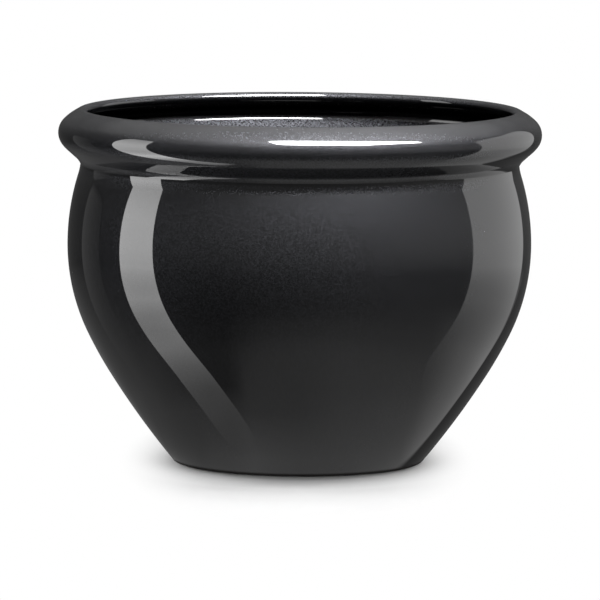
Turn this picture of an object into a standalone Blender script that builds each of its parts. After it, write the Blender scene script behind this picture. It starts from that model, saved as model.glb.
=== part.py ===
"""A round-bellied black clay pot with a rolled rim, built in the stages its potter builds it in.

Each stage stiffens before the next one is added: a base dish with the floor and the foot, a belly
wall, a shoulder wall, and the neck with its rolled rim. Each is bevelled where it meets the next
and luted to it with a film of wet clay, so each is a solid of its own here, and the film is the
gap between them.

The section is one chain of tangent arcs and straight runs in the X-Z plane with the clay on its
left: out along the underside, up the outside, over the lip and down the inside. A heading is the
direction of travel in degrees: 0 points outwards and 90 upwards. Lengths are in metres.
"""

import math

import bpy

# Underside and foot
FOOT_RADIUS = 0.0819
FOOT_RING_WIDTH = 0.010
FOOT_EDGE = 0.0025
RECESS_DEPTH = 0.0025
RECESS_SLOPE = 45.0

# Outside of the wall, as (radius of the arc, heading where it ends)
WALL_START_HEADING = 50.5
LOWER_WALL = (0.555, 58.0)
FLARE = (0.281, 64.1)
BELLY = (0.135, 90.0)
SHOULDER = (0.156, 107.3)
NECK_FILLET = (0.034, 96.0)
NECK_CREASE = (0.0008, 67.0)
NECK_COVE = (0.0128, 41.7)

# Rolled rim, from the neck's cove to the lip
COVE_RUN = 0.0078
ROLL_UNDERSIDE = (0.0246, 52.4)
ROLL_NOSE = (0.0120, 135.0)
ROLL_TOP = (0.0324, 150.0)
LIP_RUN = 0.0037
LIP_BEAD = 0.0038

# Clay
WALL = 0.0070
FLOOR = 0.0090
FLOOR_FILLET = 0.022

# Luted seams: their heights on the outside, and how much lower each one comes out inside
BASE_SEAM = 0.0700
BELLY_SEAM = 0.1420
SEAM_BEVEL = 0.0060
SLIP = 0.0004

# Fineness of the turned surfaces
CHORD_ERROR = 0.00015
STEPS_AROUND = 72

BLACK_GLOSS = (0.018, 0.018, 0.020, 1.0)
GLOSS_ROUGHNESS = 0.14
GLOSS_METALLIC = 0.35


def point_on(arc, heading):
    """Point where a chain that travels along this arc has this heading."""
    (x, z), radius, _, _ = arc
    angle = math.radians(heading)
    return x + radius * math.sin(angle), z - radius * math.cos(angle)


def centre_beside(point, heading, radius):
    """Centre of the arc that leaves a point. A left turn has a positive radius."""
    angle = math.radians(heading)
    return point[0] - radius * math.sin(angle), point[1] + radius * math.cos(angle)


def ahead(point, heading, distance):
    """Point a straight run further on."""
    angle = math.radians(heading)
    return point[0] + distance * math.cos(angle), point[1] + distance * math.sin(angle)


def arc_after(point, heading, radius, end_heading):
    """Arc that leaves a point, as (centre, signed radius, first heading, last heading)."""
    signed = math.copysign(radius, end_heading - heading)
    return centre_beside(point, heading, signed), signed, heading, end_heading


def arcs_after(point, heading, bends):
    """Tangent arcs, one after the other, for bends of (radius, heading where it ends)."""
    arcs = []
    for radius, end_heading in bends:
        arcs.append(arc_after(point, heading, radius, end_heading))
        point = point_on(arcs[-1], end_heading)
        heading = end_heading
    return arcs


def inner_face(arc, thickness):
    """The same bend on the other face of a wall this thick, travelled the other way."""
    centre, radius, first, last = arc
    return centre, thickness - radius, last + 180, first + 180


def underside_arcs():
    """The recess's slope down to the ring that the pot stands on, then the foot's edge."""
    radius = RECESS_DEPTH / 2 / (1 - math.cos(math.radians(RECESS_SLOPE)))
    slope_width = 2 * radius * math.sin(math.radians(RECESS_SLOPE))
    slope_start = (FOOT_RADIUS - FOOT_RING_WIDTH - slope_width, RECESS_DEPTH)
    slope = arcs_after(slope_start, 0.0, [(radius, -RECESS_SLOPE), (radius, 0.0)])
    edge = arc_after((FOOT_RADIUS, 0.0), 0.0, FOOT_EDGE, WALL_START_HEADING)
    return slope + [edge]


def wall_arcs():
    """Outside of the wall, from the foot's edge to the cove under the roll."""
    start = point_on(underside_arcs()[-1], WALL_START_HEADING)
    bends = [LOWER_WALL, FLARE, BELLY, SHOULDER, NECK_FILLET, NECK_CREASE, NECK_COVE]
    return arcs_after(start, WALL_START_HEADING, bends)


def roll_arcs(cove):
    """Outside of the rolled rim, which leaves the cove in a short straight run."""
    heading = cove[3]
    start = ahead(point_on(cove, heading), heading, COVE_RUN)
    return arcs_after(start, heading, [ROLL_UNDERSIDE, ROLL_NOSE, ROLL_TOP])


def lip_arc(roll):
    """Bead of the lip, round to where a straight run leads into the hollow of the roll."""
    _, (nose_centre, nose_radius, _, _), top = roll
    heading = top[3]
    centre = centre_beside(ahead(point_on(top, heading), heading, LIP_RUN), heading, LIP_BEAD)
    across = centre[0] - nose_centre[0], centre[1] - nose_centre[1]
    lean = math.asin((nose_radius - WALL + LIP_BEAD) / math.hypot(*across))
    run_heading = math.degrees(math.atan2(across[1], across[0]) + lean)
    return centre, LIP_BEAD, heading, run_heading + 180


def inside_arcs(wall, roll, lip):
    """Inside of the pot, from the hollow of the roll down to the floor."""
    underside, nose, _ = roll
    centre, radius, _, last = inner_face(nose, WALL)
    arcs = [(centre, radius, lip[3], last), inner_face(underside, WALL)]
    arcs += [inner_face(arc, WALL) for arc in reversed(wall)]
    centre, radius, first, _ = arcs[-1]
    fillet_height = centre[1] - FLOOR - FLOOR_FILLET
    meeting = 180 + math.degrees(math.acos(fillet_height / (-radius - FLOOR_FILLET)))
    arcs[-1] = centre, radius, first, meeting
    arcs.append(arc_after(point_on(arcs[-1], meeting), meeting, FLOOR_FILLET, 180.0))
    return arcs


def points_along(arcs):
    """Points of a chain, as few as keep its chords within the chord error."""
    points = []
    for arc in arcs:
        _, radius, first, last = arc
        widest = math.degrees(2 * math.acos(1 - CHORD_ERROR / abs(radius)))
        steps = max(2, math.ceil(abs(last - first) / widest))
        for step in range(steps + 1):
            point = point_on(arc, first + (last - first) * step / steps)
            if not points or math.dist(points[-1], point) > CHORD_ERROR / 10:
                points.append(point)
    return points


def section():
    """The pot's section in stretches. Both faces of the wall run upwards here."""
    wall = wall_arcs()
    roll = roll_arcs(wall[-1])
    lip = lip_arc(roll)
    _, _, crease_start, crease_end = crease = wall[5]
    return {
        "underside": [(0.0, RECESS_DEPTH)] + points_along(underside_arcs()),
        "outside": points_along(wall + roll),
        "lip": points_along([lip]),
        "inside": points_along(inside_arcs(wall, roll, lip))[::-1],
        "neck_seam": point_on(crease, (crease_start + crease_end) / 2)[1],
    }


def cut_at(points, height):
    """Point where a rising stretch passes a height."""
    for (x0, z0), (x1, z1) in zip(points, points[1:]):
        if z0 <= height <= z1:
            return x0 + (x1 - x0) * (height - z0) / (z1 - z0), height
    raise ValueError(f"no point of this face is {height:.4f} m up")


def above(points, seam):
    """What a rising stretch has above a seam, less half of the film of slip."""
    cut = cut_at(points, seam + SLIP / 2)
    return [cut] + [point for point in points if point[1] > cut[1]]


def below(points, seam):
    """What a rising stretch has below a seam, less half of the film of slip."""
    cut = cut_at(points, seam - SLIP / 2)
    return [point for point in points if point[1] < cut[1]] + [cut]


def base_outline(pot, top):
    """Dish, from the axis under the floor round to the axis above it."""
    outside = below(pot["outside"], top)
    inside = below(pot["inside"], top - SEAM_BEVEL)
    return pot["underside"] + outside[1:] + inside[::-1] + [(0.0, FLOOR)]


def band_outline(pot, bottom, top):
    """Band of wall between two seams."""
    outside = below(above(pot["outside"], bottom), top)
    inside = below(above(pot["inside"], bottom - SEAM_BEVEL), top - SEAM_BEVEL)
    return outside + inside[::-1]


def rim_outline(pot, bottom):
    """Neck, roll and lip."""
    outside = above(pot["outside"], bottom)
    inside = above(pot["inside"], bottom - SEAM_BEVEL)
    return outside + pot["lip"] + inside[::-1]


def black_gloss(name):
    material = bpy.data.materials.new(name)
    material.use_nodes = True
    material.diffuse_color = BLACK_GLOSS
    surface = material.node_tree.nodes["Principled BSDF"].inputs
    surface["Base Color"].default_value = BLACK_GLOSS
    surface["Roughness"].default_value = GLOSS_ROUGHNESS
    surface["Metallic"].default_value = GLOSS_METALLIC
    return material


def turn(name, outline, collection):
    """Turn an outline about the pot's axis. It is closed unless it ends on the axis."""
    # A Screw wants its profile's outer side to run downwards.
    corners = [(x, 0.0, z) for x, z in reversed(outline)]
    edges = [(i, i + 1) for i in range(len(corners) - 1)]
    if corners[0][0] > 0:
        edges.append((len(corners) - 1, 0))
    profile = bpy.data.meshes.new(name)
    profile.from_pydata(corners, edges, [])
    profile.materials.append(black_gloss(name))
    piece = bpy.data.objects.new(name, profile)
    collection.objects.link(piece)
    screw = piece.modifiers.new("Turn", "SCREW")
    screw.axis = "Z"
    screw.steps = STEPS_AROUND
    screw.render_steps = STEPS_AROUND
    screw.use_smooth_shade = True
    screw.use_merge_vertices = True
    screw.merge_threshold = CHORD_ERROR / 15


def main():
    for leftover in list(bpy.data.objects):
        bpy.data.objects.remove(leftover)
    collection = bpy.data.collections.new("Black clay pot")
    bpy.context.scene.collection.children.link(collection)
    pot = section()
    neck_seam = pot["neck_seam"]
    turn("base_dish", base_outline(pot, BASE_SEAM), collection)
    turn("belly_wall", band_outline(pot, BASE_SEAM, BELLY_SEAM), collection)
    turn("shoulder_wall", band_outline(pot, BELLY_SEAM, neck_seam), collection)
    turn("rim_roll", rim_outline(pot, neck_seam), collection)


main()
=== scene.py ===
"""Looks of the black clay pot: its four clay pieces as fine turned surfaces, a mirror-smooth black
gloss over metallic flecks, and a white studio with softboxes around it.

The section follows the same chain of tangent arcs as the CAD solids, in the X-Z plane with the
clay on its left: out along the underside, up the outside, over the lip and down the inside. A
heading is the direction of travel in degrees: 0 points outwards and 90 upwards. Lengths are in
metres, directions around the pot are in degrees from the camera's side, positive to its right.
"""

import math

import bpy
from mathutils import Matrix, Vector


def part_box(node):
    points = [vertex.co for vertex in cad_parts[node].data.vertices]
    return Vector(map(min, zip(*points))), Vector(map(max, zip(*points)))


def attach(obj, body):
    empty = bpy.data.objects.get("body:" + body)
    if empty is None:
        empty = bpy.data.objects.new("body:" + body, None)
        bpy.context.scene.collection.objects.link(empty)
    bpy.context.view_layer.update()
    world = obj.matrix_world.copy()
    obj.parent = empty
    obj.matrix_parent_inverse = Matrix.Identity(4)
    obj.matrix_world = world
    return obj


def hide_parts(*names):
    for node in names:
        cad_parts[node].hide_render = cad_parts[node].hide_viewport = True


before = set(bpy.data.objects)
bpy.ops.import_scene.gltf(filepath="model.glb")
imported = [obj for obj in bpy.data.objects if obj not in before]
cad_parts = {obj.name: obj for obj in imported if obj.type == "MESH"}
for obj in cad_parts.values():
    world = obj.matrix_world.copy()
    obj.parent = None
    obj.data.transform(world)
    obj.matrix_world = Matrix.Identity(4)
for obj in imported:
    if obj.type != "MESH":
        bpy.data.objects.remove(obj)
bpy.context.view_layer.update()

# ---- The pot's section ---------------------------------------------------------------------

# Underside and foot
FOOT_RADIUS = 0.0819
FOOT_RING_WIDTH = 0.010
FOOT_EDGE = 0.0025
RECESS_DEPTH = 0.0025
RECESS_SLOPE = 45.0

# Outside of the wall, as (radius of the arc, heading where it ends)
WALL_START_HEADING = 50.5
LOWER_WALL = (0.555, 58.0)
FLARE = (0.281, 64.1)
BELLY = (0.135, 90.0)
SHOULDER = (0.156, 107.3)
NECK_FILLET = (0.034, 96.0)
NECK_CREASE = (0.0008, 67.0)
NECK_COVE = (0.0128, 41.7)

# Rolled rim, from the neck's cove to the lip
COVE_RUN = 0.0078
ROLL_UNDERSIDE = (0.0246, 52.4)
ROLL_NOSE = (0.0120, 135.0)
ROLL_TOP = (0.0324, 150.0)
LIP_RUN = 0.0037
LIP_BEAD = 0.0038

# Clay
WALL = 0.0070
FLOOR = 0.0090
FLOOR_FILLET = 0.022

# How much lower each luted seam comes out inside than outside
SEAM_BEVEL = 0.0060

# The shading eases the bends over this much height each way: a rib's reach on the wall outside,
# and a finger's in the hollow of the roll, which starts at this height inside
RIB_REACH = 0.016
FINGER_REACH = 0.0038
HOLLOW_BOTTOM = 0.208
EASING_STEPS = 4

# Throwing rings inside: how deep they are, how far apart, and the heights they fade out between
RING_DEPTH = 0.00003
RING_PITCH = 0.0085
RINGS_FADE = (0.115, 0.160)

# Fineness of the turned surfaces, and how close two points may be before they count as one
DEGREES_PER_STEP = 2.0
LONGEST_STEP = 0.0025
LONGEST_STEP_INSIDE = 0.0012
STEPS_AROUND = 288
SAME_POINT = 1e-7
CLEAR_OF_SEAM = 1e-6


def point_on(arc, heading):
    """Point where a chain that travels along this arc has this heading."""
    (x, z), radius, _, _ = arc
    angle = math.radians(heading)
    return x + radius * math.sin(angle), z - radius * math.cos(angle)


def centre_beside(point, heading, radius):
    """Centre of the arc that leaves a point. A left turn has a positive radius."""
    angle = math.radians(heading)
    return point[0] - radius * math.sin(angle), point[1] + radius * math.cos(angle)


def ahead(point, heading, distance):
    """Point a straight run further on."""
    angle = math.radians(heading)
    return point[0] + distance * math.cos(angle), point[1] + distance * math.sin(angle)


def arc_after(point, heading, radius, end_heading):
    """Arc that leaves a point, as (centre, signed radius, first heading, last heading)."""
    signed = math.copysign(radius, end_heading - heading)
    return centre_beside(point, heading, signed), signed, heading, end_heading


def arcs_after(point, heading, bends):
    """Tangent arcs, one after the other, for bends of (radius, heading where it ends)."""
    arcs = []
    for radius, end_heading in bends:
        arcs.append(arc_after(point, heading, radius, end_heading))
        point = point_on(arcs[-1], end_heading)
        heading = end_heading
    return arcs


def inner_face(arc, thickness):
    """The same bend on the other face of a wall this thick, travelled the other way."""
    centre, radius, first, last = arc
    return centre, thickness - radius, last + 180, first + 180


def underside_arcs():
    """The recess's slope down to the ring that the pot stands on, then the foot's edge."""
    radius = RECESS_DEPTH / 2 / (1 - math.cos(math.radians(RECESS_SLOPE)))
    slope_width = 2 * radius * math.sin(math.radians(RECESS_SLOPE))
    slope_start = (FOOT_RADIUS - FOOT_RING_WIDTH - slope_width, RECESS_DEPTH)
    slope = arcs_after(slope_start, 0.0, [(radius, -RECESS_SLOPE), (radius, 0.0)])
    edge = arc_after((FOOT_RADIUS, 0.0), 0.0, FOOT_EDGE, WALL_START_HEADING)
    return slope + [edge]


def wall_arcs():
    """Outside of the wall, from the foot's edge to the cove under the roll."""
    start = point_on(underside_arcs()[-1], WALL_START_HEADING)
    bends = [LOWER_WALL, FLARE, BELLY, SHOULDER, NECK_FILLET, NECK_CREASE, NECK_COVE]
    return arcs_after(start, WALL_START_HEADING, bends)


def roll_arcs(cove):
    """Outside of the rolled rim, which leaves the cove in a short straight run."""
    heading = cove[3]
    start = ahead(point_on(cove, heading), heading, COVE_RUN)
    return arcs_after(start, heading, [ROLL_UNDERSIDE, ROLL_NOSE, ROLL_TOP])


def lip_arc(roll):
    """Bead of the lip, round to where a straight run leads into the hollow of the roll."""
    _, (nose_centre, nose_radius, _, _), top = roll
    heading = top[3]
    centre = centre_beside(ahead(point_on(top, heading), heading, LIP_RUN), heading, LIP_BEAD)
    across = centre[0] - nose_centre[0], centre[1] - nose_centre[1]
    lean = math.asin((nose_radius - WALL + LIP_BEAD) / math.hypot(*across))
    run_heading = math.degrees(math.atan2(across[1], across[0]) + lean)
    return centre, LIP_BEAD, heading, run_heading + 180


def inside_arcs(wall, roll, lip):
    """Inside of the pot, from the hollow of the roll down to the floor."""
    underside, nose, _ = roll
    centre, radius, _, last = inner_face(nose, WALL)
    arcs = [(centre, radius, lip[3], last), inner_face(underside, WALL)]
    arcs += [inner_face(arc, WALL) for arc in reversed(wall)]
    centre, radius, first, _ = arcs[-1]
    fillet_height = centre[1] - FLOOR - FLOOR_FILLET
    meeting = 180 + math.degrees(math.acos(fillet_height / (-radius - FLOOR_FILLET)))
    arcs[-1] = centre, radius, first, meeting
    arcs.append(arc_after(point_on(arcs[-1], meeting), meeting, FLOOR_FILLET, 180.0))
    return arcs


def stations_along(arcs, longest=LONGEST_STEP):
    """Stations (x, z, heading) of a chain, close enough together for mirror-like gloss."""
    stations = []
    for arc in arcs:
        _, radius, first, last = arc
        length = abs(radius) * math.radians(abs(last - first))
        steps = math.ceil(max(abs(last - first) / DEGREES_PER_STEP, length / longest))
        for step in range(steps + 1):
            heading = first + (last - first) * step / steps
            stations.append((*point_on(arc, heading), heading))
    return without_repeats(stations)


def without_repeats(stations):
    """Drops each station that starts an arc where the last one ended."""
    kept = stations[:1]
    for station in stations[1:]:
        if math.dist(station[:2], kept[-1][:2]) > SAME_POINT:
            kept.append(station)
    return kept


def reversed_run(stations):
    """The same stretch travelled the other way."""
    return [(x, z, heading + 180) for x, z, heading in reversed(stations)]


def floor_and_inside(arcs):
    """Rising stretch that starts on the axis and crosses the floor before it climbs the inside."""
    wall = reversed_run(stations_along(arcs, LONGEST_STEP_INSIDE))
    edge, _, level = wall[0]
    steps = math.ceil(edge / LONGEST_STEP_INSIDE)
    return [(edge * step / steps, FLOOR, level) for step in range(steps)] + wall


def ringed(stations):
    """The same stretch with the shallow rings that the potter's fingers leave in it."""
    waves = []
    run = 0.0
    previous = stations[0]
    fade_start, fade_end = RINGS_FADE
    turn = 2 * math.pi / RING_PITCH
    for x, z, heading in stations:
        run += math.dist((x, z), previous[:2])
        previous = (x, z)
        depth = RING_DEPTH * min(1.0, max(0.0, (fade_end - z) / (fade_end - fade_start)))
        lift = depth * math.sin(turn * run)
        tilt = math.degrees(math.atan(depth * turn * math.cos(turn * run))) if x > 0 else 0.0
        angle = math.radians(heading)
        waves.append((x - lift * math.sin(angle), z + lift * math.cos(angle), heading + tilt))
    return waves


def eased(stations, bottom, top, longest_reach):
    """Rising stretch whose headings change gradually from bend to bend between two heights."""
    shares = [step / EASING_STEPS for step in range(-EASING_STEPS, EASING_STEPS + 1)]
    smoothed = []
    for x, z, heading in stations:
        reach = max(0.0, min(longest_reach, z - bottom, top - z))
        nearby = [cut_at(stations, z + reach * share)[2] for share in shares]
        smoothed.append((x, z, sum(nearby) / len(nearby) if reach else heading))
    return smoothed


def section():
    """The pot's section in stretches. Both faces of the wall run upwards here."""
    wall = wall_arcs()
    roll = roll_arcs(wall[-1])
    lip = lip_arc(roll)
    shoulder = wall[3]
    top_of_shoulder = point_on(shoulder, shoulder[3])[1]
    outside = stations_along(wall + roll)
    inside = ringed(floor_and_inside(inside_arcs(wall, roll, lip)))
    return {
        "underside": [(0.0, RECESS_DEPTH, 0.0)] + stations_along(underside_arcs()),
        "outside": eased(outside, outside[0][1], top_of_shoulder, RIB_REACH),
        "lip": stations_along([lip]),
        "inside": eased(inside, HOLLOW_BOTTOM, inside[-1][1], FINGER_REACH),
    }


def cut_at(stations, height):
    """Station where a rising stretch passes a height."""
    for low, high in zip(stations, stations[1:]):
        if low[1] <= height <= high[1]:
            share = (height - low[1]) / (high[1] - low[1])
            return tuple(a + (b - a) * share for a, b in zip(low, high))
    raise ValueError(f"no point of this face is {height:.4f} m up")


def above(stations, seam):
    """What a rising stretch has above a seam."""
    return [cut_at(stations, seam)] + [s for s in stations if s[1] > seam + CLEAR_OF_SEAM]


def below(stations, seam):
    """What a rising stretch has below a seam."""
    return [s for s in stations if s[1] < seam - CLEAR_OF_SEAM] + [cut_at(stations, seam)]


def seam_between(lower, upper):
    """Height of a luted seam on the outside: the middle of the gap between two CAD nodes."""
    top_of_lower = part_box(lower)[1].z
    bottom_of_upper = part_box(upper)[0].z + SEAM_BEVEL
    return (top_of_lower + bottom_of_upper) / 2


# ---- Turned meshes -------------------------------------------------------------------------

ANGLES = [2 * math.pi * step / STEPS_AROUND for step in range(STEPS_AROUND + 1)]
CIRCLE = [(math.cos(angle), math.sin(angle)) for angle in ANGLES[:-1]]


def strips_of(runs):
    """Strips between neighbouring stations as ((x, z, heading), (x, z, heading)).

    A run is smooth along its length. The straight strip that joins it to the next one has its
    own heading at both ends, which keeps the edges of a seam sharp.
    """
    strips = []
    for run, following in zip(runs, runs[1:] + runs[:1]):
        strips += list(zip(run, run[1:]))
        (x0, z0, _), (x1, z1, _) = run[-1], following[0]
        if math.dist((x0, z0), (x1, z1)) > SAME_POINT and (x0 > 0 or x1 > 0):
            heading = math.degrees(math.atan2(z1 - z0, x1 - x0))
            strips.append(((x0, z0, heading), (x1, z1, heading)))
    return strips


def outward(heading, angle):
    """Outward normal of the turned surface, at an angle around the pot."""
    tilt = math.radians(heading)
    return (math.sin(tilt) * math.cos(angle), math.sin(tilt) * math.sin(angle), -math.cos(tilt))


class Rings:
    """Vertices of a turned mesh: one ring for each point of the outline, one vertex on the axis."""

    def __init__(self):
        self.vertices = []
        self.starts = {}

    def vertex(self, x, z, step):
        """Number of the vertex of this point's ring at a step around, which is added if new."""
        key = (round(x, 7), round(z, 7))
        if key not in self.starts:
            self.starts[key] = len(self.vertices)
            self.vertices += [(x * c, x * s, z) for c, s in CIRCLE] if x > 0 else [(0.0, 0.0, z)]
        return self.starts[key] + (step % STEPS_AROUND if x > 0 else 0)


def turned_mesh(name, runs):
    """Closed mesh of an outline turned about the Z axis, with the outline's exact normals."""
    rings = Rings()
    faces = []
    normals = []
    for (x0, z0, h0), (x1, z1, h1) in strips_of(runs):
        for step in range(STEPS_AROUND):
            here, there = ANGLES[step], ANGLES[step + 1]
            corners = [(x0, z0, step), (x0, z0, step + 1), (x1, z1, step + 1), (x1, z1, step)]
            shading = [outward(h0, here), outward(h0, there), outward(h1, there), outward(h1, here)]
            if x0 <= 0:
                del corners[1], shading[1]
            elif x1 <= 0:
                del corners[3], shading[3]
            faces.append([rings.vertex(*corner) for corner in corners])
            normals += shading
    mesh = bpy.data.meshes.new(name)
    mesh.from_pydata(rings.vertices, [], faces)
    mesh.shade_smooth()
    mesh.normals_split_custom_set(normals)
    return mesh


def clay_piece(node, runs, material):
    """Fine surface that stands for one CAD node."""
    mesh = turned_mesh(node + "_clay", runs)
    mesh.materials.append(material)
    piece = bpy.data.objects.new(node + "_clay", mesh)
    bpy.context.scene.collection.objects.link(piece)
    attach(piece, "root")
    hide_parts(node)
    return piece


def clay_pieces(material):
    """The four pieces of clay, which meet at the luted seams."""
    pot = section()
    outside, inside = pot["outside"], pot["inside"]
    base = seam_between("base_dish", "belly_wall")
    belly = seam_between("belly_wall", "shoulder_wall")
    neck = seam_between("shoulder_wall", "rim_roll")
    dish = pot["underside"] + below(outside, base)[1:]
    floor = reversed_run(below(inside, base - SEAM_BEVEL))
    clay_piece("base_dish", [dish, floor], material)
    for node, low, high in (("belly_wall", base, belly), ("shoulder_wall", belly, neck)):
        outer = below(above(outside, low), high)
        inner = below(above(inside, low - SEAM_BEVEL), high - SEAM_BEVEL)
        clay_piece(node, [outer, reversed_run(inner)], material)
    rim = above(outside, neck) + pot["lip"] + reversed_run(above(inside, neck - SEAM_BEVEL))[1:]
    clay_piece("rim_roll", [rim], material)


# ---- Materials -----------------------------------------------------------------------------


class Nodes:
    """Short calls for building a node tree."""

    def __init__(self, tree):
        self.tree = tree
        self.tree.nodes.clear()

    def add(self, kind, settings=None, **inputs):
        """Node with settings on itself and values or links on its inputs, named in words."""
        node = self.tree.nodes.new("ShaderNode" + kind)
        for key, value in (settings or {}).items():
            setattr(node, key, value)
        for key, value in inputs.items():
            socket = self.find(node, key)
            if isinstance(value, bpy.types.NodeSocket):
                self.tree.links.new(value, socket)
            else:
                socket.default_value = value
        return node

    @staticmethod
    def find(node, key):
        """Input by its number, as in_0, or by its name with _ for a space."""
        if key.startswith("in_"):
            return node.inputs[int(key[3:])]
        return next(i for i in node.inputs if i.name.lower() == key.replace("_", " ").lower())

    def axes(self, vector):
        """X, Y and Z of a vector, by name."""
        return self.add("SeparateXYZ", Vector=vector).outputs

    def math(self, operation, a, b=0.0, c=0.0):
        return self.add("Math", {"operation": operation}, in_0=a, in_1=b, in_2=c).outputs[0]

    def vector(self, operation, a, b=(0.0, 0.0, 0.0), scale=1.0, output="Vector"):
        node = self.add("VectorMath", {"operation": operation}, in_0=a, in_1=b, Scale=scale)
        return node.outputs[output]

    def mix(self, share, a, b):
        """Colour that goes from a to b as the share goes from 0 to 1."""
        return self.add("Mix", {"data_type": "RGBA"}, in_0=share, in_6=a, in_7=b).outputs[2]

    def blend(self, share, a, b):
        """Number that goes from a to b as the share goes from 0 to 1."""
        return self.add("Mix", in_0=share, in_2=a, in_3=b).outputs[0]

    def fade(self, value, start, end, low=0.0, high=1.0):
        """Smooth step from low to high as the value goes from start to end."""
        settings = {"interpolation_type": "SMOOTHSTEP"}
        spread = {"From_Min": start, "From_Max": end, "To_Min": low, "To_Max": high}
        return self.add("MapRange", settings, Value=value, **spread).outputs[0]

    def ramp(self, value, stops):
        """Straight-line curve through stops of (value, result)."""
        low, high = stops[0][0], stops[-1][0]
        share = self.add("MapRange", Value=value, From_Min=low, From_Max=high).outputs[0]
        tallest = max(result for _, result in stops)
        ramp = self.add("ValToRGB", Fac=share)
        band = ramp.color_ramp.elements
        while len(band) < len(stops):
            band.new(0.5)
        for element, (place, result) in zip(band, stops):
            element.position = (place - low) / (high - low)
            element.color = (*[result / tallest] * 3, 1.0)
        return self.math("MULTIPLY", ramp.outputs[0], tallest)

    def finish(self, shader, kind="Material"):
        output = self.tree.nodes.new("ShaderNodeOutput" + kind)
        self.tree.links.new(shader, output.inputs["Surface"])


def new_material(name):
    material = bpy.data.materials.new(name)
    material.use_nodes = True
    return material, Nodes(material.node_tree)


# Flecks of metal in the glaze: their size, how far each one leans, how rare the bright ones are,
# and a painted glint that shows them fully only where the clay faces up: how much of them shows
# on upright clay, and how upright that is. They lie thicker in clouds.
FLECK_SIZE = 0.00075
FLECK_TILT = 0.08
FLECK_RARITY = 7.0
FLECK_GLINT_ON_UPRIGHT_CLAY = 0.3
FLECK_GLINT_FACES_UP = (0.3, 0.7)
CLOUDS_PER_METRE = 14.0
CLOUD_CONTRAST = 2.0

# Ground between them, from dark to grainy
GRAIN_SIZE = 0.0014
GRAIN_SPREAD = (0.37, 0.65)
GLAZE_ROUGHNESS = 0.57
DARK_GLAZE = (0.0054, 0.0055, 0.0060, 1.0)
GRAINY_GLAZE = (0.0104, 0.0106, 0.0118, 1.0)
BRIGHT_FLECK = (0.0195, 0.0199, 0.0222, 1.0)

# How much paler the glaze is painted around the neck's crease, by height: painted light below and
# above the crease, and painted shade on the crease line itself
PAINTED_LIGHT_BY_HEIGHT = [(0.188, 1.0), (0.1945, 1.8), (0.1962, 2.0), (0.1972, 0.8), (0.1982, 0.8),
                (0.2005, 3.0), (0.2070, 3.0), (0.2140, 2.2), (0.2170, 1.0)]

# Inside: how far a normal may face out from the axis to count as inside, how the glaze is painted
# darker in the undercut and paler where the clay faces up, as painted shade and light, and how
# full the gloss gets from the undercut clay to the clay that faces up
TURNS_INSIDE = (-0.05, -0.35)
INSIDE_PAINTED_SPAN = (0.05, 0.45)
UNDERCUT_PAINTED_SHADE = 0.3
UPWARD_PAINTED_LIGHT = 1.65
INSIDE_GETS_GLOSSY = (0.05, 0.30)
UNDERCUT_GLOSS = 0.15
INSIDE_GLOSS = 0.90
OUTSIDE_GLOSS = 1.0
GLOSS_ROUGHNESS = 0.02
GLOSS_IOR = 1.5

# Unglazed clay: up to the glaze line on the foot ring, and a little above the recess within it
BARE_CLAY = (0.030, 0.028, 0.027, 1.0)
BARE_ROUGHNESS = 0.85
GLAZE_FADES = (0.003, 0.001)
BARE_ABOVE_RECESS = (0.002, 0.001)


def flecked_glaze(nodes, place, smooth, facing_up):
    """Colour and normal of dark glaze whose metal flecks each lean their own way."""
    cells = nodes.add("TexVoronoi", Vector=place, Scale=1 / FLECK_SIZE)
    chance = nodes.add("SeparateColor", Color=cells.outputs["Color"]).outputs["Green"]
    clouds = nodes.add("TexNoise", Vector=place, Scale=CLOUDS_PER_METRE, Detail=3.0).outputs["Fac"]
    shine = nodes.math("POWER", chance, FLECK_RARITY)
    shine = nodes.math("MULTIPLY", shine, nodes.math("MULTIPLY", clouds, CLOUD_CONTRAST))
    # Painted glint: the flecks show less on upright clay and fully where the clay faces up to the
    # light
    painted_glint = nodes.fade(facing_up, *FLECK_GLINT_FACES_UP, FLECK_GLINT_ON_UPRIGHT_CLAY, 1.0)
    shine = nodes.math("MULTIPLY", shine, painted_glint)
    lean = nodes.vector("SUBTRACT", cells.outputs["Color"], (0.5, 0.5, 0.5))
    lean = nodes.vector("MULTIPLY", lean, (FLECK_TILT,) * 3)
    tilted = nodes.vector("NORMALIZE", nodes.vector("ADD", smooth, lean))
    grain = nodes.add("TexNoise", Vector=place, Scale=1 / GRAIN_SIZE, Detail=2.0).outputs["Fac"]
    ground = nodes.mix(nodes.fade(grain, *GRAIN_SPREAD), DARK_GLAZE, GRAINY_GLAZE)
    return nodes.mix(shine, ground, BRIGHT_FLECK), tilted


def inside_share(nodes, place, smooth):
    """0 where the clay faces out and 1 where it faces the pot's axis."""
    outwards = nodes.vector("NORMALIZE", nodes.vector("MULTIPLY", place, (1.0, 1.0, 0.0)))
    facing_out = nodes.vector("DOT_PRODUCT", outwards, smooth, output="Value")
    return nodes.fade(facing_out, *TURNS_INSIDE)


def painted_light_and_shade(nodes, inside, height, facing_up):
    """Painted light and shade on the glaze: by height outside, and inside by how far the clay faces
    up.
    """
    painted_by_height = nodes.ramp(height, PAINTED_LIGHT_BY_HEIGHT)
    lit = nodes.fade(facing_up, *INSIDE_PAINTED_SPAN, UNDERCUT_PAINTED_SHADE, UPWARD_PAINTED_LIGHT)
    return nodes.blend(inside, painted_by_height, lit)


def gloss_weight(nodes, inside, facing_up):
    """Full gloss outside, and inside only where the clay faces up enough to be burnished."""
    burnished = nodes.fade(facing_up, *INSIDE_GETS_GLOSSY, UNDERCUT_GLOSS, INSIDE_GLOSS)
    return nodes.blend(inside, OUTSIDE_GLOSS, burnished)


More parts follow.
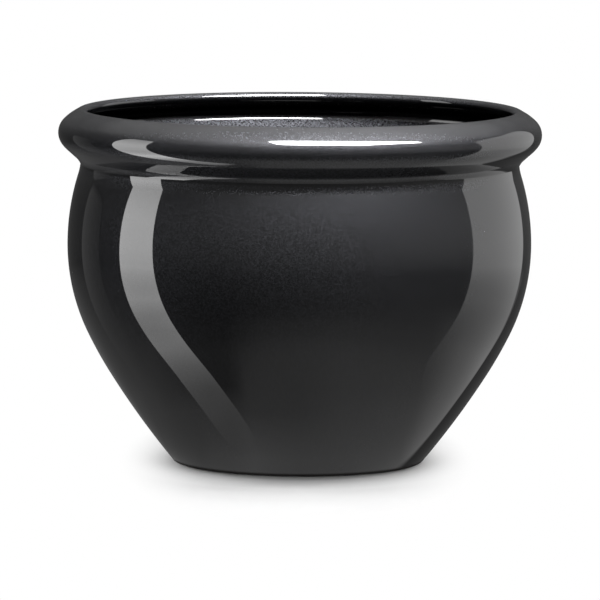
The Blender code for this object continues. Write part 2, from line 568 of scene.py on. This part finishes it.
def bare_share(nodes, place, height):
    """1 on the foot ring and in its recess, which are left unglazed, and 0 above the glaze line."""
    flat = nodes.vector("MULTIPLY", place, (1.0, 1.0, 0.0))
    radius = nodes.vector("LENGTH", flat, output="Value")
    in_recess = nodes.fade(radius, FOOT_RADIUS, FOOT_RADIUS - FOOT_EDGE)
    below_floor = nodes.fade(height, *[RECESS_DEPTH + more for more in BARE_ABOVE_RECESS])
    recess = nodes.math("MULTIPLY", in_recess, below_floor)
    return nodes.math("MAXIMUM", nodes.fade(height, *GLAZE_FADES), recess)


def black_gloss_clay():
    """Clear gloss over a black ground full of tiny metal flecks. The foot ring is bare clay."""
    material, nodes = new_material("black_gloss_clay")
    place = nodes.add("TexCoord").outputs["Object"]
    smooth = nodes.add("NewGeometry").outputs["Normal"]
    height = nodes.axes(place)["Z"]
    facing_up = nodes.axes(smooth)["Z"]
    inside = inside_share(nodes, place, smooth)
    glaze, tilted = flecked_glaze(nodes, place, smooth, facing_up)
    # The glaze's colour is scaled by painted light and shade, by height and by how far the clay faces
    # up
    glaze = nodes.vector("SCALE", glaze, scale=painted_light_and_shade(nodes, inside, height, facing_up))
    bare = bare_share(nodes, place, height)
    glazed = nodes.math("SUBTRACT", 1.0, bare)
    surface = nodes.add(
        "BsdfPrincipled",
        Base_Color=nodes.mix(bare, glaze, BARE_CLAY),
        Metallic=glazed,
        Roughness=nodes.blend(bare, GLAZE_ROUGHNESS, BARE_ROUGHNESS),
        Specular_Tint=(0.0, 0.0, 0.0, 1.0),
        Normal=tilted,
        Coat_Weight=nodes.math("MULTIPLY", gloss_weight(nodes, inside, facing_up), glazed),
        Coat_Roughness=GLOSS_ROUGHNESS,
        Coat_IOR=GLOSS_IOR,
    )
    nodes.finish(surface.outputs[0])
    return material


# ---- Studio --------------------------------------------------------------------------------

WHITE = (1.0, 1.0, 1.0, 1.0)

# The studio's curves are fitted and not designed. They go back to tones measured in a photo of the
# pot, sorted by the direction that each tone is reflected from.

# Upright softboxes as (middle, half angle, bottom, top), how soft their edges are, and their
# brightness by height and across. The strip also narrows towards its top.
SOFTBOX_REACH = 1.6
SOFTBOX_ROUNDNESS = 8.0
LEFT_STRIP = (-84.7, 15.9, -5.0, 1.2)
STRIP_SOFTNESS = 0.03
STRIP_TAPER = [(-1, 1.0), (1, 0.632)]
STRIP_BY_HEIGHT = [(-5.0, 0), (-4.0, 20), (-1.25, 20.5), (-1.0, 16.8), (-0.75, 10.8), (-0.5, 8.0),
                   (-0.35, 6.5), (-0.07, 5.3), (0.12, 5.9), (0.4, 6.1), (1.2, 3.5)]
STRIP_ACROSS = [(-1, 0.95), (1, 1.14)]
RIGHT_SOFTBOX = (117.2, 26.2, -1.7, 1.10)
RIGHT_SOFTNESS = 0.05
RIGHT_BY_HEIGHT = [(-1.7, 0.9), (-0.6, 0.9), (-0.3, 0.82), (0.1, 1.0), (1.1, 1.0)]
RIGHT_ACROSS = [(-1, 2.15), (1, 0.98)]
FAR_LEFT_REFLECTOR = (-122.6, 10.3, -1.6, 0.45)
REFLECTOR_SOFTNESS = 0.1
REFLECTOR_ACROSS = [(-1, 0.24), (1, 0.13)]

# Overhead softbox in front of the pot, mostly to the right. A black flag (start, slope) cuts off
# its right front corner.
TOP_SOFTBOX_X = (-0.216, 1.065)
TOP_SOFTBOX_Y = (-0.925, -0.300)
TOP_SOFTBOX_HEIGHT = 1.227
TOP_SOFTBOX_BRIGHTNESS = 150
TOP_SOFTBOX_SOFTNESS = 0.06
TOP_SOFTBOX_ROUNDNESS = 6.5
TOP_SOFTBOX_FLAG = (0.25, 2.45)

# Floor, and the sheet just under it that the gloss sees in its place, as (width, height)
FLOOR_SHEET = (16, -0.0001)
VEIL_SHEET = (2, -0.0003)

# Lights that only the floor sees, as (direction, height in degrees, brightness)
FLOOR_LIGHT_SIZE = 0.8
FLOOR_LIGHT_REACH = 1.5
FLOOR_LIGHTS = {
    "floor_light_left": (-100, 50, 6.1),
    "floor_light_right": (100, 50, 6.9),
    "floor_light_front": (0, 51, 5.3),
}
DOME_OVER_FLOOR = 0.12

# Distances from the axis between which the floor turns pure white, sooner at the sides
FLOOR_WHITENS = (0.17, 0.30)
WHITENS_SOONER_SIDEWAYS = 2.5

# How much light the floor sends back by distance from the axis: a painted contact shadow in its
# colour, least at the foot, which fades sooner at the sides
FLOOR_SHADE = [(0.082, 0.34), (0.088, 0.42), (0.0945, 0.53), (0.101, 0.74), (0.108, 0.84),
               (0.116, 0.92), (0.126, 0.97), (0.140, 0.99), (0.153, 0.90), (0.190, 0.83)]
FADES_SOONER_SIDEWAYS = 1.2

# Floor as the gloss sees it: how solid it is by distance from the axis, and its brightness by
# direction at some distances from the axis. VEIL_RINGS follows a program's printout of the
# measured tones, thinned, rounded and corrected.
VEIL_COVER = [(0.10, 1.0), (0.12, 0.991), (0.13, 0.985), (0.15, 0.97), (0.18, 0.94), (0.21, 0.90),
              (0.26, 0.86), (0.33, 0.72), (0.42, 0.5), (1.0, 0.0)]
VEIL_RINGS = [
    (0.095, [(-180, 0.12), (-90, 0.14), (-70, 0.23), (-50, 0.36), (-40, 0.50), (-30, 0.62),
             (-20, 0.78), (0, 0.70), (30, 0.68), (45, 0.58), (55, 0.52), (65, 0.60), (180, 0.60)]),
    (0.130, [(-180, 0.13), (-110, 0.14), (-90, 0.19), (-75, 0.26), (-60, 0.31), (-40, 0.38),
             (-30, 0.34), (-20, 0.42), (0, 0.43), (20, 0.55), (40, 0.56), (60, 0.49), (70, 0.60),
             (180, 0.62)]),
    (0.155, [(-180, 0.14), (-110, 0.15), (-90, 0.22), (-75, 0.26), (-60, 0.24), (-48, 0.20),
             (-40, 0.09), (-30, 0.11), (-26, 0.18), (-22, 0.34), (-15, 0.37), (0, 0.37),
             (20, 0.47), (40, 0.47), (60, 0.44), (75, 0.60), (180, 0.64)]),
    (0.225, [(-180, 0.16), (-120, 0.16), (-90, 0.22), (-70, 0.22), (-50, 0.10), (-30, 0.06),
             (-22, 0.16), (-15, 0.24), (0, 0.31), (20, 0.38), (40, 0.37), (60, 0.35), (80, 0.66),
             (110, 0.72), (180, 0.72)]),
    (0.400, [(-180, 0.22), (-130, 0.20), (-90, 0.18), (-65, 0.08), (-30, 0.04), (-20, 0.07),
             (0, 0.12), (20, 0.20), (40, 0.26), (60, 0.28), (75, 0.24), (90, 0.43), (180, 0.43)]),
]

# Curve on the floor to the right behind the pot: y = start y + slope * run + curve * run^2,
# with the run measured along x. The floor beyond it is dark in the gloss.
DARK_CURVE_START = (0.077, -0.044)
DARK_CURVE_SLOPE = 0.72
DARK_CURVE_BEND = 2.05
DARK_CURVE_SOFTNESS = 0.003
DARK_CURVE_APPEARS = (0.02, 0.05)
DARK_FLOOR = 0.1

# Dark room as the gloss sees it: its brightness by the height of the direction, and a paler
# horizon in front, each with its strength by direction around the pot
CEILING = [(-1, 3.2), (-0.9, 2.4), (-0.7, 0.6), (-0.55, 0.1), (0, 0.08), (0.17, 0.14), (0.34, 0.22),
           (0.5, 0.4), (0.62, 0.8), (0.77, 1.2), (0.87, 1.8), (1, 2.0)]
CEILING_AROUND = [(-180, 0.85), (-160, 0.72), (-90, 0.72), (-60, 0.8), (-20, 1.0), (90, 1.0),
                  (150, 0.95), (180, 0.85)]
HORIZON = [(-0.2, 0), (-0.08, 0.22), (0, 0.33), (0.17, 0.25), (0.34, 0.07), (0.5, 0)]
HORIZON_AROUND = [(-180, 0), (-90, 0.1), (-60, 0.3), (0, 0.3), (30, 0.5), (70, 1), (95, 1),
                  (145, 0.2), (180, 0)]


def flat_sheet(name, width, height, place, material):
    """Flat rectangle whose corners run from (-1, -1) to (1, 1), stretched and placed."""
    mesh = bpy.data.meshes.new(name)
    mesh.from_pydata([(-1, -1, 0), (1, -1, 0), (1, 1, 0), (-1, 1, 0)], [], [(0, 1, 2, 3)])
    mesh.materials.append(material)
    sheet = bpy.data.objects.new(name, mesh)
    bpy.context.scene.collection.objects.link(sheet)
    sheet.matrix_world = place @ Matrix.Diagonal((width / 2, height / 2, 1, 1))
    return sheet


def show_only_in_gloss(sheet):
    sheet.visible_camera = False
    sheet.visible_diffuse = False


def veiled_light(nodes, cover, strength):
    """Light that hides what is behind it only as far as its cover says."""
    lit = nodes.add("Emission", Color=WHITE, Strength=strength).outputs[0]
    clear = nodes.add("BsdfTransparent").outputs[0]
    nodes.finish(nodes.add("MixShader", in_0=cover, in_1=clear, in_2=lit).outputs[0])


def rounded_rectangle(nodes, sideways, lengthways, softness, roundness):
    """1 within a rectangle with rounded corners that spans -1 to 1, fading to 0 at its edge."""
    far = [nodes.math("POWER", nodes.math("ABSOLUTE", v), roundness) for v in (sideways, lengthways)]
    edge = nodes.math("POWER", nodes.math("ADD", *far), 1 / roundness)
    return nodes.fade(edge, 1.0, 1.0 - softness)


def unflagged(nodes, sideways, lengthways, softness, flag):
    """0 in the corner that a black flag (start, slope) cuts off, and 1 elsewhere."""
    start, slope = flag
    line = nodes.math("MULTIPLY_ADD", nodes.math("SUBTRACT", sideways, start), slope, -1.0)
    return nodes.fade(nodes.math("SUBTRACT", lengthways, line), 0.0, 2 * softness)


def glow(name, softness, across, by_height=None, roundness=SOFTBOX_ROUNDNESS, taper=None, flag=None):
    """Light of a softbox with soft edges, as bright as the curves across it and by height say.

    A taper narrows it towards one end, and a flag cuts off one corner.
    """
    material, nodes = new_material(name)
    axes = nodes.axes(nodes.add("TexCoord").outputs["Object"])
    sideways, lengthways = axes["X"], axes["Y"]
    if taper:
        sideways = nodes.math("DIVIDE", sideways, nodes.ramp(lengthways, taper))
    inside = rounded_rectangle(nodes, sideways, lengthways, softness, roundness)
    if flag:
        uncut = unflagged(nodes, sideways, lengthways, softness, flag)
        inside = nodes.math("MULTIPLY", inside, uncut)
    strength = nodes.math("MULTIPLY", inside, nodes.ramp(sideways, across))
    if by_height:
        height = nodes.axes(nodes.add("NewGeometry").outputs["Position"])["Z"]
        strength = nodes.math("MULTIPLY", strength, nodes.ramp(height, by_height))
    veiled_light(nodes, inside, strength)
    return material


def upright_softbox(name, spans, material):
    """Upright softbox that faces the pot's axis from one direction around it."""
    middle, half_angle, bottom, top = spans
    angle = math.radians(middle)
    away = Vector((math.sin(angle), -math.cos(angle), 0))
    sideways = Vector((math.cos(angle), math.sin(angle), 0))
    turn = Matrix((sideways, (0, 0, 1), -away)).transposed().to_4x4()
    centre = away * SOFTBOX_REACH + Vector((0, 0, (bottom + top) / 2))
    width = 2 * SOFTBOX_REACH * math.tan(math.radians(half_angle))
    sheet = flat_sheet(name, width, top - bottom, Matrix.Translation(centre) @ turn, material)
    show_only_in_gloss(sheet)


def overhead_softbox(name, x_span, y_span, height, material):
    centre = Vector((sum(x_span) / 2, sum(y_span) / 2, height))
    width, depth = x_span[1] - x_span[0], y_span[1] - y_span[0]
    show_only_in_gloss(flat_sheet(name, width, depth, Matrix.Translation(centre), material))


def softboxes():
    strip = glow("strip_glow", STRIP_SOFTNESS, STRIP_ACROSS, STRIP_BY_HEIGHT, taper=STRIP_TAPER)
    upright_softbox("left_strip", LEFT_STRIP, strip)
    wide = glow("wide_glow", RIGHT_SOFTNESS, RIGHT_ACROSS, RIGHT_BY_HEIGHT)
    upright_softbox("right_softbox", RIGHT_SOFTBOX, wide)
    faint = glow("faint_glow", REFLECTOR_SOFTNESS, REFLECTOR_ACROSS)
    upright_softbox("far_left_reflector", FAR_LEFT_REFLECTOR, faint)
    even = [(end, TOP_SOFTBOX_BRIGHTNESS) for end in (-1, 1)]
    shape = {"roundness": TOP_SOFTBOX_ROUNDNESS, "flag": TOP_SOFTBOX_FLAG}
    top = glow("top_glow", TOP_SOFTBOX_SOFTNESS, even, **shape)
    overhead_softbox("top_softbox", TOP_SOFTBOX_X, TOP_SOFTBOX_Y, TOP_SOFTBOX_HEIGHT, top)


def distance_out(nodes, place, sideways=1.0):
    """Distance from the middle of the floor, which may grow faster sideways."""
    stretched = nodes.vector("MULTIPLY", place, (sideways, 1.0, 1.0))
    return nodes.vector("LENGTH", stretched, output="Value")


def sheet_under_pot(name, sheet, material):
    size, height = sheet
    return flat_sheet(name, size, size, Matrix.Translation((0, 0, height)), material)


def white_floor():
    """Plain white floor with the pot's shadow near it, partly cast by the floor lights and partly a
    painted contact shadow in its colour, and pure white further out.
    """
    material, nodes = new_material("white_floor")
    place = nodes.add("NewGeometry").outputs["Position"]
    near = distance_out(nodes, place, FADES_SOONER_SIDEWAYS)
    lit = nodes.add("BsdfDiffuse", Color=nodes.ramp(near, FLOOR_SHADE)).outputs[0]
    white = nodes.add("Emission", Color=WHITE, Strength=1.0).outputs[0]
    beyond = nodes.fade(distance_out(nodes, place, WHITENS_SOONER_SIDEWAYS), *FLOOR_WHITENS)
    nodes.finish(nodes.add("MixShader", in_0=beyond, in_1=lit, in_2=white).outputs[0])
    floor = sheet_under_pot("floor", FLOOR_SHEET, material)
    floor.visible_glossy = False
    floor.visible_shadow = False


def floor_lights():
    """Softboxes that light only the floor: two behind the pot's sides, and a fill in front."""
    for name, (middle, height, brightness) in FLOOR_LIGHTS.items():
        material, nodes = new_material(name)
        nodes.finish(nodes.add("Emission", Color=WHITE, Strength=brightness).outputs[0])
        turn = Matrix.Rotation(math.radians(middle), 4, "Z")
        tilt = Matrix.Rotation(math.radians(90 - height), 4, "X")
        place = turn @ tilt @ Matrix.Translation((0, 0, FLOOR_LIGHT_REACH))
        light = flat_sheet(name, FLOOR_LIGHT_SIZE, FLOOR_LIGHT_SIZE, place, material)
        light.visible_camera = False
        light.visible_glossy = False


def direction_around(nodes, axes):
    """Direction around the pot in degrees from the camera's side, positive to its right."""
    forwards = nodes.math("MULTIPLY", axes["Y"], -1.0)
    return nodes.math("DEGREES", nodes.math("ARCTAN2", axes["X"], forwards))


def past_dark_curve(nodes, axes):
    """1 beyond a curve on the floor to the right behind the pot, where the floor is dark in the
    gloss.
    """
    run = nodes.math("SUBTRACT", axes["X"], DARK_CURVE_START[0])
    rise = nodes.math("MULTIPLY_ADD", run, DARK_CURVE_BEND, DARK_CURVE_SLOPE)
    edge = nodes.math("MULTIPLY_ADD", run, rise, DARK_CURVE_START[1])
    past = nodes.math("SUBTRACT", axes["Y"], edge)
    past = nodes.fade(past, -DARK_CURVE_SOFTNESS, DARK_CURVE_SOFTNESS)
    return nodes.math("MULTIPLY", past, nodes.fade(axes["X"], *DARK_CURVE_APPEARS))


def floor_veil():
    """Floor as the gloss sees it: bright near the foot, and thinner away from it."""
    material, nodes = new_material("floor_in_gloss")
    place = nodes.add("NewGeometry").outputs["Position"]
    reach = distance_out(nodes, place)
    axes = nodes.axes(place)
    around = direction_around(nodes, axes)
    nearest, by_direction = VEIL_RINGS[0]
    strength = nodes.ramp(around, by_direction)
    for radius, by_direction in VEIL_RINGS[1:]:
        share = nodes.ramp(reach, [(nearest, 0.0), (radius, 1.0)])
        strength = nodes.blend(share, strength, nodes.ramp(around, by_direction))
        nearest = radius
    strength = nodes.blend(past_dark_curve(nodes, axes), strength, DARK_FLOOR)
    veiled_light(nodes, nodes.ramp(reach, VEIL_COVER), strength)
    show_only_in_gloss(sheet_under_pot("floor_veil", VEIL_SHEET, material))


def studio_world():
    """White to the camera, an even white dome over the floor, and a dark room in the gloss."""
    world = bpy.data.worlds.new("studio")
    bpy.context.scene.world = world
    world.use_nodes = True
    world.cycles.sampling_method = "NONE"
    nodes = Nodes(world.node_tree)
    path = nodes.add("LightPath").outputs
    direction = nodes.add("TexCoord").outputs["Generated"]
    axes = nodes.axes(direction)
    around = direction_around(nodes, axes)
    room = [nodes.math("MULTIPLY", nodes.ramp(axes["Z"], by_height), nodes.ramp(around, by_direction))
            for by_height, by_direction in ((CEILING, CEILING_AROUND), (HORIZON, HORIZON_AROUND))]
    to_gloss = nodes.math("MULTIPLY", path["Is Glossy Ray"], nodes.math("ADD", *room))
    to_floor = nodes.math("MULTIPLY", path["Is Diffuse Ray"], DOME_OVER_FLOOR)
    strength = nodes.math("ADD", nodes.math("ADD", to_gloss, to_floor), path["Is Camera Ray"])
    nodes.finish(nodes.add("Background", Color=WHITE, Strength=strength).outputs[0], "World")


# ---- Camera --------------------------------------------------------------------------------


CAMERA_PLACE = (0.0, -4.0, 0.5585)
CAMERA_AIM = (0.0007, 0.0, 0.1071)
CAMERA_ROLL = 0.40
FOCAL_LENGTH = 362.4
SENSOR_WIDTH = 36.0


def product_camera():
    """Long lens a little above the rim, aimed at the middle of the pot."""
    data = bpy.data.cameras.new("camera")
    data.lens = FOCAL_LENGTH
    data.sensor_width = SENSOR_WIDTH
    camera = bpy.data.objects.new("camera", data)
    bpy.context.scene.collection.objects.link(camera)
    aim = Vector(CAMERA_AIM) - Vector(CAMERA_PLACE)
    level = aim.to_track_quat("-Z", "Y").to_matrix().to_4x4()
    roll = Matrix.Rotation(math.radians(CAMERA_ROLL), 4, "Z")
    camera.matrix_world = Matrix.Translation(CAMERA_PLACE) @ level @ roll
    bpy.context.scene.camera = camera
    bpy.context.scene.view_settings.view_transform = "Standard"


def corners(box):
    return [[float(number) for number in corner] for corner in box]


clay_pieces(black_gloss_clay())
white_floor()
floor_lights()
floor_veil()
softboxes()
studio_world()
product_camera()
